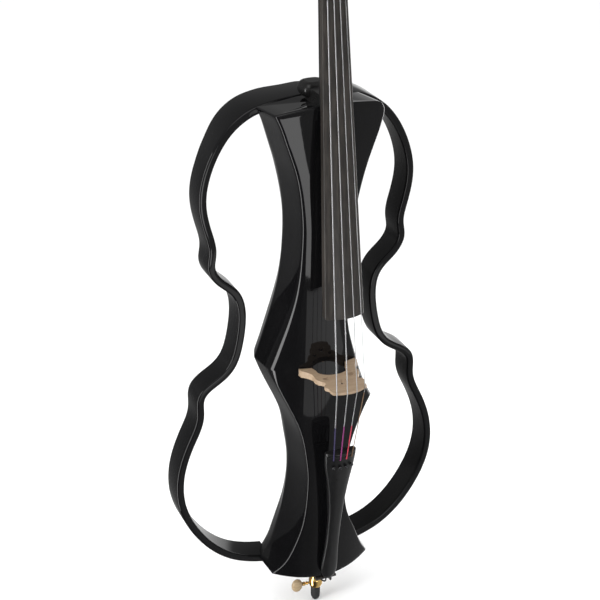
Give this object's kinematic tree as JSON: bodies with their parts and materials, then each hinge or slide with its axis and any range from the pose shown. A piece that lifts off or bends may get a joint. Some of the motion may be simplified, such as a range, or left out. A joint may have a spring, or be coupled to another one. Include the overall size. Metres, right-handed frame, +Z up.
{
  "type": "electric cello",
  "caption": "Skeleton-frame electric cello: carved centre body, cello-outline side bars, neck and scroll, strings, bridge, tailpiece, endpin and rear controls.",
  "frame": {"origin": "centre of the small flat at the bottom of the endpin's rubber tip, endpin pushed in", "axes": "+Z up along the strings towards the scroll, -Y towards the strings and the player's bow, +X to the treble (A string) side"},
  "size_m": [0.442, 0.2226, 1.3188],
  "materials": {
    "lacquer_black": "high-gloss black lacquer on laminated wood",
    "neck_black": "satin black lacquer on maple",
    "ebony": "oiled ebony",
    "maple": "plain unvarnished maple, fine flecks",
    "pickup_black": "matte",
    "tailpiece_black": "satin composite",
    "gut_black": "braided cord",
    "gold": "gold plated, polished",
    "steel": "bright steel",
    "string_steel": "flat wound steel, coloured silk at the tail end",
    "rubber_black": "matte rubber",
    "knob_tan": "satin tan wood",
    "cover_black": "fine textured",
    "battery_case": "plain printed can, no lettering",
    "board_green": "solder mask",
    "knob_black": "satin black, ribbed",
    "tuner_black": "black nickel"
  },
  "bodies": {
    "body": {"centre_body": "lacquer_black", "frame_bar_left": "lacquer_black", "frame_bar_right": "lacquer_black", "neck": "neck_black", "fingerboard": "ebony", "nut": "ebony", "bridge": "maple", "pickup_left": "pickup_black", "pickup_right": "pickup_black", "tailpiece": "tailpiece_black", "tailgut": "gut_black", "saddle": "ebony", "endpin_collar": "gold", "frame_screw_top_left": "steel", "frame_screw_top_right": "steel", "frame_screw_bottom_left": "steel", "frame_screw_bottom_right": "steel", "rear_cover": "cover_black", "battery": "battery_case", "preamp_board": "board_green", "jack_socket": "steel", "headphone_socket": "steel", "cover_screw_1": "steel", "cover_screw_2": "steel", "cover_screw_3": "steel", "cover_screw_4": "steel", "string_C": "string_steel", "string_G": "string_steel", "string_D": "string_steel", "string_A": "string_steel"},
    "endpin": {"endpin_rod": "steel", "endpin_rubber_tip": "rubber_black"},
    "endpin_clamp": {"clamp_screw": "gold", "clamp_knob": "knob_tan"},
    "volume_control": {"volume_knob": "knob_black"},
    "tone_control": {"tone_knob": "knob_black"},
    "battery_lid": {"battery_door": "cover_black"},
    "peg_C_body": {"peg_C": "ebony"},
    "tuner_C_screw": {"tuner_screw_C": "tuner_black"},
    "tuner_C_lever": {"tuner_lever_C": "steel"},
    "peg_G_body": {"peg_G": "ebony"},
    "tuner_G_screw": {"tuner_screw_G": "tuner_black"},
    "tuner_G_lever": {"tuner_lever_G": "steel"},
    "peg_D_body": {"peg_D": "ebony"},
    "tuner_D_screw": {"tuner_screw_D": "tuner_black"},
    "tuner_D_lever": {"tuner_lever_D": "steel"},
    "peg_A_body": {"peg_A": "ebony"},
    "tuner_A_screw": {"tuner_screw_A": "tuner_black"},
    "tuner_A_lever": {"tuner_lever_A": "steel"}
  },
  "joints": [
    {"name": "peg_C_turn", "type": "hinge", "parent": "body", "child": "peg_C_body", "pos_m": [0, -0.00964, 1.17767], "axis": [-1, 0, 0], "continuous": true},
    {"name": "peg_G_turn", "type": "hinge", "parent": "body", "child": "peg_G_body", "pos_m": [0, 0.00278, 1.22404], "axis": [-1, 0, 0], "continuous": true},
    {"name": "peg_D_turn", "type": "hinge", "parent": "body", "child": "peg_D_body", "pos_m": [0, 0.00847, 1.24529], "axis": [1, 0, 0], "continuous": true},
    {"name": "peg_A_turn", "type": "hinge", "parent": "body", "child": "peg_A_body", "pos_m": [0, -0.00447, 1.19699], "axis": [1, 0, 0], "continuous": true},
    {"name": "tuner_C_turn", "type": "hinge", "parent": "body", "child": "tuner_C_screw", "pos_m": [-0.01488, -0.09625, 0.3115], "axis": [0, 1, 0], "range_deg": [0, 1440]},
    {"name": "tuner_C_lever_swing", "type": "hinge", "parent": "body", "child": "tuner_C_lever", "pos_m": [-0.01488, -0.08144, 0.3195], "axis": [1, 0, 0], "range_deg": [0, 4]},
    {"name": "tuner_G_turn", "type": "hinge", "parent": "body", "child": "tuner_G_screw", "pos_m": [-0.00496, -0.09625, 0.3115], "axis": [0, 1, 0], "range_deg": [0, 1440]},
    {"name": "tuner_G_lever_swing", "type": "hinge", "parent": "body", "child": "tuner_G_lever", "pos_m": [-0.00496, -0.08144, 0.3195], "axis": [1, 0, 0], "range_deg": [0, 4]},
    {"name": "tuner_D_turn", "type": "hinge", "parent": "body", "child": "tuner_D_screw", "pos_m": [0.00496, -0.09625, 0.3115], "axis": [0, 1, 0], "range_deg": [0, 1440]},
    {"name": "tuner_D_lever_swing", "type": "hinge", "parent": "body", "child": "tuner_D_lever", "pos_m": [0.00496, -0.08144, 0.3195], "axis": [1, 0, 0], "range_deg": [0, 4]},
    {"name": "tuner_A_turn", "type": "hinge", "parent": "body", "child": "tuner_A_screw", "pos_m": [0.01488, -0.09625, 0.3115], "axis": [0, 1, 0], "range_deg": [0, 1440]},
    {"name": "tuner_A_lever_swing", "type": "hinge", "parent": "body", "child": "tuner_A_lever", "pos_m": [0.01488, -0.08144, 0.3195], "axis": [1, 0, 0], "range_deg": [0, 4]},
    {"name": "endpin_slide", "type": "slide", "parent": "body", "child": "endpin", "axis": [0, 0, -1], "range_m": [0, 0.36]},
    {"name": "endpin_clamp_turn", "type": "hinge", "parent": "body", "child": "endpin_clamp", "pos_m": [-0.03, 0, 0.0345], "axis": [1, 0, 0], "range_deg": [0, 720]},
    {"name": "volume_turn", "type": "hinge", "parent": "body", "child": "volume_control", "pos_m": [-0.015, 0.072, 0.448], "axis": [0, -1, 0], "range_deg": [0, 270]},
    {"name": "tone_turn", "type": "hinge", "parent": "body", "child": "tone_control", "pos_m": [0.015, 0.072, 0.448], "axis": [0, -1, 0], "range_deg": [0, 270]},
    {"name": "battery_door_swing", "type": "hinge", "parent": "body", "child": "battery_lid", "pos_m": [0, 0.0719, 0.3605], "axis": [-1, 0, 0], "range_deg": [0, 100]}
  ],
  "couplings": [
    {"joint": "tuner_C_lever_swing", "follows": "tuner_C_turn", "ratio": 0.002778},
    {"joint": "tuner_G_lever_swing", "follows": "tuner_G_turn", "ratio": 0.002778},
    {"joint": "tuner_D_lever_swing", "follows": "tuner_D_turn", "ratio": 0.002778},
    {"joint": "tuner_A_lever_swing", "follows": "tuner_A_turn", "ratio": 0.002778}
  ]
}
